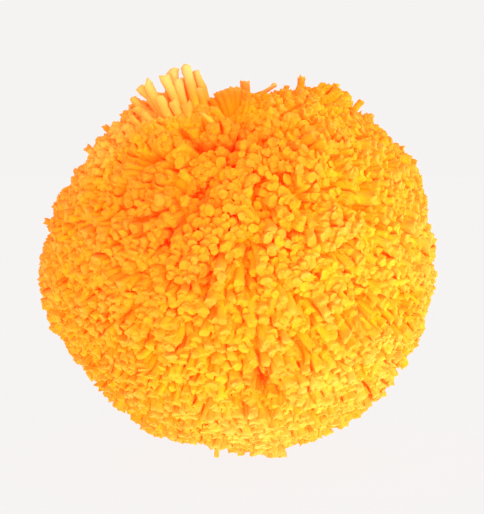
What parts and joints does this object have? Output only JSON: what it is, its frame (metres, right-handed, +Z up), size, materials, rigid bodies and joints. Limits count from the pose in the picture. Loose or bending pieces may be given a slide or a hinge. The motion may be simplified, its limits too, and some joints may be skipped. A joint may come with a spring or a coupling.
{
  "type": "yarn pom pom",
  "caption": "Round, fluffy ball of golden yellow cut yarn, bound at its middle and trimmed by hand, resting on its level lowest strand ends.",
  "frame": {"origin": "centre of the ball's bounding box, on the surface that it rests on", "axes": "+Z up, -Y the front that the picture shows, +X to the right of the front"},
  "size_m": [0.0799, 0.0753, 0.0789],
  "materials": {
    "yarn": "soft brushed yarn, matt with a slight sheen"
  },
  "bodies": {
    "root": {"pompom": "yarn"}
  },
  "joints": []
}
